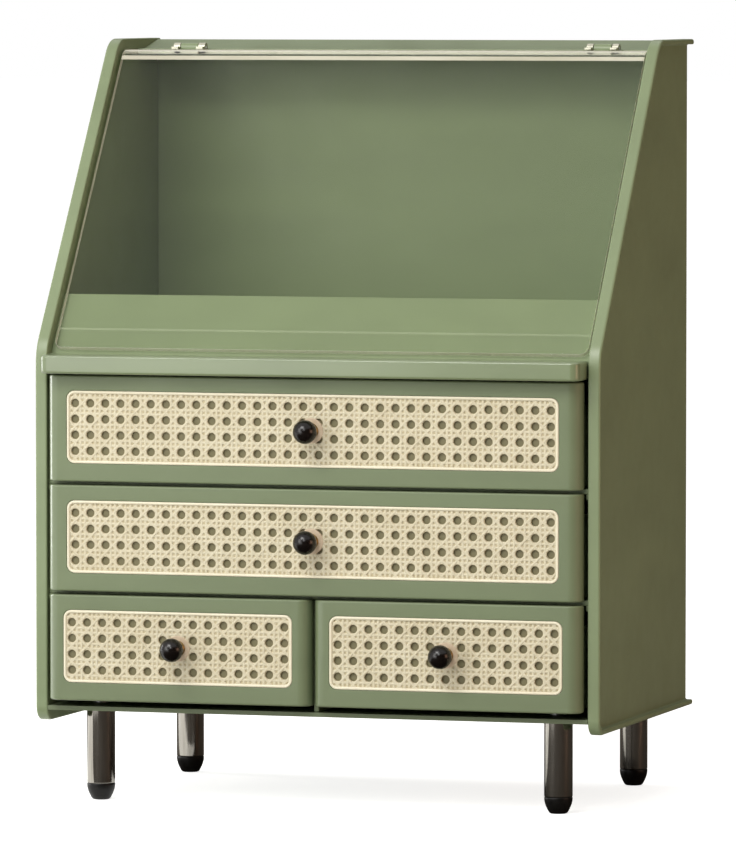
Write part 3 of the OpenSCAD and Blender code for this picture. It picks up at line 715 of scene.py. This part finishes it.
def weave(b, cx, zc, cols, w, h):
    """Pairs of upright and level strands between the holes, and slanting ones both ways."""
    field = (w - 1.5, h - 1.5, 3.85)
    pair, margin = 1.325, 0.8        # from a strand to its pair's middle, and to the field's edge
    for count, limit, lift, upright in ((cols, field[0], 0.34, True), (CANE_ROWS, field[1], 0.30, False)):
        for i in range(-1, count):
            for s in (-pair, pair):
                off = (i - (count - 1) / 2) * PITCH + PITCH / 2 + s
                if abs(off) > limit / 2 - margin:
                    continue
                p, d = ((off, 0), (0, 1)) if upright else ((0, off), (1, 0))
                strand(b, cx, zc, p, d, inside_span(*field, p, d), 1.6, lift, 0.1, math.pi * (i % 2))
    q = math.sqrt(0.5)
    first = -((cols - 1) + (CANE_ROWS - 1)) / 2 * PITCH
    for side, lift in ((1, 0.47), (-1, 0.44)):
        for m in range(-2, cols + CANE_ROWS + 2):
            c = first + (m - 0.5) * PITCH            # on this strand x + side * z = c
            p, d = (c / 2, side * c / 2), (q, -side * q)
            span = inside_span(*field, p, d)
            if span and span[1] - span[0] > 1.5:
                strand(b, cx, zc, p, d, span, 1.5, lift, 0.06, math.pi * (m % 2))


def sheet(b, cx, zc, cols, w, h):
    """The moulded sheet below the strands, open at the holes only, made of one cell round each."""
    n, half, hole_r, face = 16, PITCH / 2, HOLE_R + 0.03, -6.86
    xe, ze = w / 2 - 0.85, h / 2 - 0.85
    for ci in range(cols):
        for rj in range(CANE_ROWS):
            x0, z0 = (ci - (cols - 1) / 2) * PITCH, (rj - (CANE_ROWS - 1) / 2) * PITCH
            xl = -xe if ci == 0 else x0 - half
            xr = xe if ci == cols - 1 else x0 + half
            zl = -ze if rj == 0 else z0 - half
            zr = ze if rj == CANE_ROWS - 1 else z0 + half
            hole, cell = [], []
            for i in range(n):
                a = 2 * math.pi * (i + 0.5) / n
                ca, sa = math.cos(a), math.sin(a)
                hole.append((x0 + hole_r * ca, z0 + hole_r * sa))
                if i % 4 == 1:                       # one point of each quarter is the cell's corner
                    bx, bz = math.copysign(1, ca), math.copysign(1, sa)
                else:
                    m = max(abs(ca), abs(sa))
                    bx, bz = ca / m, sa / m
                cell.append((x0 + bx * (xr - x0 if bx > 0 else x0 - xl),
                             z0 + bz * (zr - z0 if bz > 0 else z0 - zl)))
            # The sheet is painted a darker cream than the strands above it: painted shade.
            b.tube([b.loop([(cx + x, y, zc + z) for x, z in ring])
                    for ring, y in ((cell, face), (hole, face), (hole, CANE_BACK))], mat=2)


def bead(b, cx, zc, w, h):
    """The rounded frame of the insert: (inset, y) from its back over its crown to its inner side."""
    crown = ((0.0, CANE_BACK), (0.0, -7.55), (0.1, -7.85), (0.35, -8.08), (0.7, -8.19), (1.05, -8.17),
             (1.35, -8.02), (1.6, -7.75), (BEAD_W, -7.4), (BEAD_W, -6.2))
    b.tube([b.loop([(cx + x, y, zc + z) for x, z in round_rect(w - 2 * off, h - 2 * off, CANE_R - off)])
            for off, y in crown], mat=1)


def cane_insert(k):
    b = Build()
    cx, zc, w, h = CENTRE[k], ROWS[k] + INSERT_Z, insert_w(k), CANE_H
    weave(b, cx, zc, COLS[k], w, h)
    sheet(b, cx, zc, COLS[k], w, h)
    boss_r, bore = 7.2, 1.6          # the boss under the knob, and the screw's way through
    b.revolve((cx, 0, zc), [(boss_r, -CANE_BACK), (boss_r, 7.2), (boss_r, 7.45), (7.1, 7.58), (6.8, 7.64),
                            (4.0, 7.66), (bore, 7.66)], 40, "-y", mat=3)
    bead(b, cx, zc, w, h)
    b.make("cane_insert_" + k, [cane, cane_bead, cane_ground_painted_shade, cane_boss], "drawer_" + k,
           "cane_" + k, angle=50, weld=False)


def knob_set(k):
    """The ball, cut flat at its back, the collar under it, and the screw through the front."""
    at = (CENTRE[k], -7.5, ROWS[k] + INSERT_Z)
    low = math.asin(KNOB_BACK / KNOB_R)
    rim, back = KNOB_R * math.cos(low), KNOB_REACH - KNOB_BACK
    prof = [(1.6, back), (rim - 0.5, back), (rim - 0.15, back + 0.08)]
    n, start = 26, 0.09 - low
    for i in range(n):
        a = start + (math.pi / 2 - start) * i / n
        prof.append((KNOB_R * math.cos(a), KNOB_REACH + KNOB_R * math.sin(a)))
    prof.append((0.0, KNOB_REACH + KNOB_R))
    ball = Build()
    ball.revolve(at, prof, 56, "-y")
    ball.make("knob_ball_" + k, [knob_black], "drawer_" + k, "knob_" + k, angle=60)
    collar = Build()
    collar.revolve(at, [(1.7, 0.1), (4.3, 0.1), (4.52, 0.2), (4.6, 0.45), (4.6, 0.95), (4.5, 1.2),
                        (4.2, 1.35), (4.05, 1.5), (3.9, 1.8), (3.5, 2.1), (3.15, 2.35), (3.02, 2.7),
                        (3.0, 3.4), (3.0, 5.4), (1.7, 5.4), (1.7, 0.1)], 48, "-y")
    collar.make("knob_collar_" + k, [brass], "drawer_" + k, "knob_ring_" + k, angle=60)
    carry("knob_screw_" + k, "knob_screw_%s_pressed" % k, steel, "drawer_" + k, 0.2)


def drawer(k):
    drawer_front(k)
    cane_insert(k)
    knob_set(k)
    carry("tray_" + k, "tray_%s_moulding" % k, sage_tray, "drawer_" + k, 0.6)


# ---- Stage, in metres --------------------------------------------------------

def seen_rays(t):
    """1 for rays that look straight at the background, by sight, in a mirror or through glass."""
    lp = t.nodes.new("ShaderNodeLightPath")
    prev = lp.outputs["Is Camera Ray"]
    for name in ("Is Glossy Ray", "Is Transmission Ray"):
        n = t.nodes.new("ShaderNodeMath")
        n.operation = "MAXIMUM"
        t.links.new(prev, n.inputs[0])
        t.links.new(lp.outputs[name], n.inputs[1])
        prev = n.outputs[0]
    return prev


def floor():
    me = bpy.data.meshes.new("floor")
    bm = bmesh.new()
    n, half, below = 8, 30.0, 0.0001
    ticks = [half * (2 * i / n - 1) for i in range(n + 1)]
    grid = [[bm.verts.new((x, y, -below)) for x in ticks] for y in ticks]
    for low, high in zip(grid, grid[1:]):
        for i in range(n):
            bm.faces.new((low[i], low[i + 1], high[i + 1], high[i]))
    bm.to_mesh(me)
    bm.free()
    ob = bpy.data.objects.new("floor", me)
    bpy.context.scene.collection.objects.link(ob)
    m = bpy.data.materials.new("floor_pale")
    m.use_nodes = True
    t = m.node_tree
    t.nodes.clear()
    out = t.nodes.new("ShaderNodeOutputMaterial")
    diffuse = t.nodes.new("ShaderNodeBsdfDiffuse")
    diffuse.inputs[0].default_value = (0.82, 0.82, 0.81, 1)
    glow = t.nodes.new("ShaderNodeEmission")
    glow.inputs[0].default_value = (1, 1, 1, 1)
    level = t.nodes.new("ShaderNodeMath")
    level.operation = "MULTIPLY"
    level.inputs[1].default_value = 0.78
    t.links.new(seen_rays(t), level.inputs[0])
    t.links.new(level.outputs[0], glow.inputs[1])
    add = t.nodes.new("ShaderNodeAddShader")
    t.links.new(diffuse.outputs[0], add.inputs[0])
    t.links.new(glow.outputs[0], add.inputs[1])
    t.links.new(add.outputs[0], out.inputs[0])
    me.materials.append(m)


def world():
    """White where it is seen, and a soft warm fill for everything else."""
    w = bpy.data.worlds.new("studio")
    bpy.context.scene.world = w
    w.use_nodes = True
    t = w.node_tree
    t.nodes.clear()
    out = t.nodes.new("ShaderNodeOutputWorld")
    mx = t.nodes.new("ShaderNodeMixShader")
    t.links.new(seen_rays(t), mx.inputs[0])
    for socket, colour, strength in ((1, (1.0, 0.98, 0.94, 1), 0.36), (2, (1, 1, 1, 1), 1.0)):
        bg = t.nodes.new("ShaderNodeBackground")
        bg.inputs[0].default_value = colour
        bg.inputs[1].default_value = strength
        t.links.new(bg.outputs[0], mx.inputs[socket])
    t.links.new(mx.outputs[0], out.inputs[0])


def cloth_material(name, colour):
    m = bpy.data.materials.new(name)
    m.use_nodes = True
    p = m.node_tree.nodes["Principled BSDF"]
    p.inputs["Base Color"].default_value = (*colour, 1)
    p.inputs["Roughness"].default_value = 0.9
    return m


def cloths():
    """Dark studio cloth, out of the camera's sight. All but the screen show in mirrors only.

    Each has its two ends, in degrees from the front towards the right, and the radius and
    height of its two borders.
    """
    far = cloth_material("flag_cloth_far", (0.085, 0.066, 0.05))
    near = cloth_material("flag_cloth_near", (0.034, 0.026, 0.019))
    for name, mat, start, end, low, high in (
            ("screen", far, -12, 170, (6.0, -0.05), (6.0, 4.2)),
            ("rear_cloth", far, 170, 250, (6.0, -0.05), (6.0, 3.2)),
            ("floor_cloth", far, -12, 250, (0.0, 0.0002), (26.0, 0.0002)),
            ("near_cloth", near, -56, 140, (0.0, 0.0003), (0.95, 0.0003))):
        me = bpy.data.meshes.new(name)
        bm = bmesh.new()
        n, cols = 32, []
        for i in range(n + 1):
            a = math.radians(start + (end - start) * i / n)
            cols.append([bm.verts.new((r * math.sin(a), -r * math.cos(a), z)) for r, z in (low, high)])
        for a, b in zip(cols, cols[1:]):
            bm.faces.new((a[0], b[0], b[1], a[1]))
        bm.to_mesh(me)
        bm.free()
        ob = bpy.data.objects.new(name, me)
        bpy.context.scene.collection.objects.link(ob)
        ob.visible_camera = False
        if name != "screen":
            ob.visible_shadow = ob.visible_diffuse = ob.visible_transmission = False
        me.materials.append(mat)


def aim(ob, direction):
    ob.rotation_mode = "QUATERNION"
    ob.rotation_quaternion = direction.to_track_quat("-Z", "Y")


def lamp(name, at, target, size, power, colour=(1, 1, 1)):
    d = bpy.data.lights.new(name, "AREA")
    d.shape = "RECTANGLE"
    d.size, d.size_y = size
    d.energy = power
    d.color = colour
    ob = bpy.data.objects.new(name, d)
    bpy.context.scene.collection.objects.link(ob)
    ob.location = at
    aim(ob, Vector(target) - Vector(at))


def lamps():
    lamp("key", (-1.35, -1.75, 0.9), (0, 0, 0.2), (0.9, 1.2), 15, (1.0, 0.995, 0.98))
    lamp("high", (-0.45, -1.5, 1.75), (0, 0, 0.25), (1.0, 0.7), 25, (1.0, 0.995, 0.98))
    lamp("nose", (-0.56, -1.3, 0.26), (-0.12, -0.09, 0.25), (0.5, 0.25), 1.2)
    lamp("near", (0.16, -1.4, 0.9), (0, -0.1, 0.2), (0.35, 0.4), 3.5)
    lamp("back", (0.1, 0.95, 1.9), (0, 0.05, 0.3), (1.8, 0.7), 2.5)
    lamp("strip", (-2.0, 0.35, 0.5), (-0.16, 0, 0.22), (0.45, 1.3), 20)
    lamp("side", (2.25, -0.4, 0.5), (0, 0, 0.25), (0.9, 0.9), 10.5, (1.0, 0.58, 0.38))


def camera():
    """A long lens right of the middle and a little above, aimed at a point given in mm."""
    azimuth, elevation = math.radians(16.81), math.radians(3.23)
    focal_px, frame_h, distance = 7952.28, 851, 4437.18
    aim_right, aim_up = 29.82, 215.76
    back = Vector((math.sin(azimuth) * math.cos(elevation), -math.cos(azimuth) * math.cos(elevation),
                   math.sin(elevation)))
    right = Vector((math.cos(azimuth), math.sin(azimuth), 0))
    cam = bpy.data.cameras.new("camera")
    cam.sensor_width = 36
    cam.lens = focal_px / frame_h * cam.sensor_width
    cam.clip_start, cam.clip_end = 0.1, 100
    ob = bpy.data.objects.new("camera", cam)
    bpy.context.scene.collection.objects.link(ob)
    ob.location = place(*(right * aim_right + Vector((0, 0, aim_up)) + back * distance))
    aim(ob, -back)
    bpy.context.scene.camera = ob


# ---- The organizer and its studio --------------------------------------------

side_panel(-1, "left")
side_panel(1, "right")
shelf()
fence()
lid()
panels()
hinges()
carry("leg_screws", "leg_screws_pressed", steel, "cabinet", 0.3)
legs()
for key in ROWS:
    drawer(key)

floor()
world()
cloths()
camera()
lamps()
bpy.context.scene.view_settings.view_transform = "Standard"
